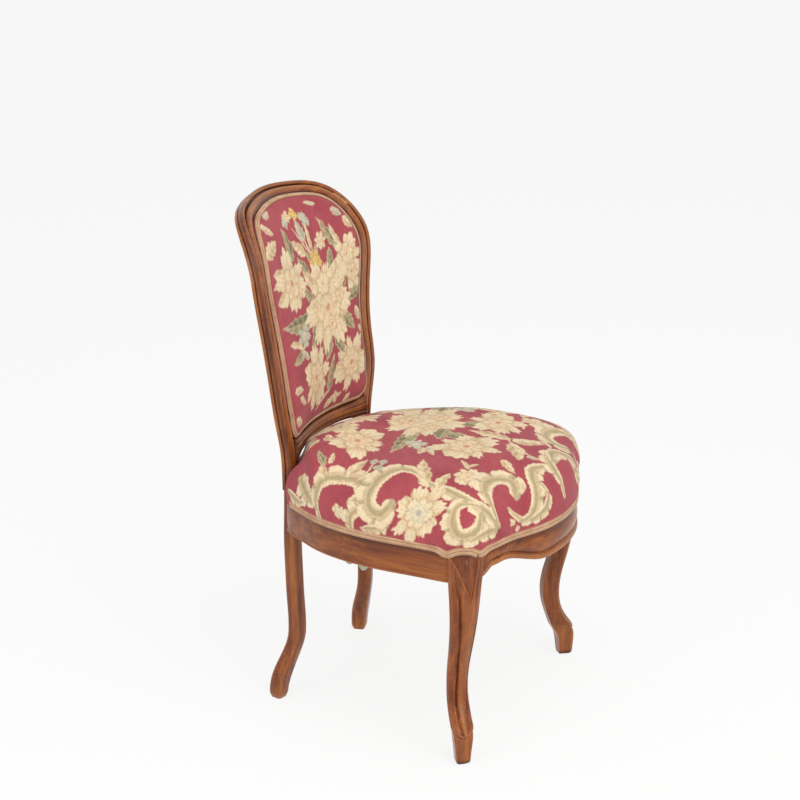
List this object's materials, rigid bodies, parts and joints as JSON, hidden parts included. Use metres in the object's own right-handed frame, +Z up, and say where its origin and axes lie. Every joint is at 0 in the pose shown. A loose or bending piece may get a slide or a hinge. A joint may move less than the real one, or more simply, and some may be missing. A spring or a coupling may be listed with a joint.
{
  "type": "side chair",
  "caption": "Louis Philippe style side chair: moulded, bowed wooden back with a padded panel, sprung domed seat in floral tapestry, cabriole front legs and swept rear legs.",
  "frame": {"origin": "on the floor, under the middle of the chair's box", "axes": "+Z up, -Y the way the sitter faces, +X to the sitter's left"},
  "size_m": [0.5188, 0.6031, 0.8993],
  "materials": {
    "walnut": "worn satin varnish",
    "beech": "unfinished",
    "iron_screw": "dull",
    "jute": "plain woven",
    "spring_steel": "dull coppered wire",
    "horsehair": "loose fibre",
    "tapestry": "figured weave, matt",
    "gimp_braid": "braided",
    "dust_cloth": "thin plain weave",
    "iron_tack": "blued",
    "back_cloth": "plain woven, matt"
  },
  "bodies": {
    "root": {"crest_rail": "walnut", "left_back_post": "walnut", "right_back_post": "walnut", "lower_back_rail": "walnut", "left_front_leg": "walnut", "right_front_leg": "walnut", "front_seat_rail": "walnut", "left_seat_rail": "walnut", "right_seat_rail": "walnut", "rear_seat_rail": "walnut", "left_front_corner_block": "beech", "right_front_corner_block": "beech", "left_rear_corner_block": "beech", "right_rear_corner_block": "beech", "seat_dowels": "beech", "back_dowels": "beech", "corner_block_screws": "iron_screw", "seat_webbing": "jute", "seat_springs": "spring_steel", "spring_hessian": "jute", "seat_stuffing": "horsehair", "seat_cover": "tapestry", "seat_gimp": "gimp_braid", "dust_cover": "dust_cloth", "dust_cover_tacks": "iron_tack", "back_webbing": "jute", "back_stuffing": "horsehair", "back_cover": "tapestry", "back_gimp": "gimp_braid", "outer_back_cover": "back_cloth"}
  },
  "joints": []
}
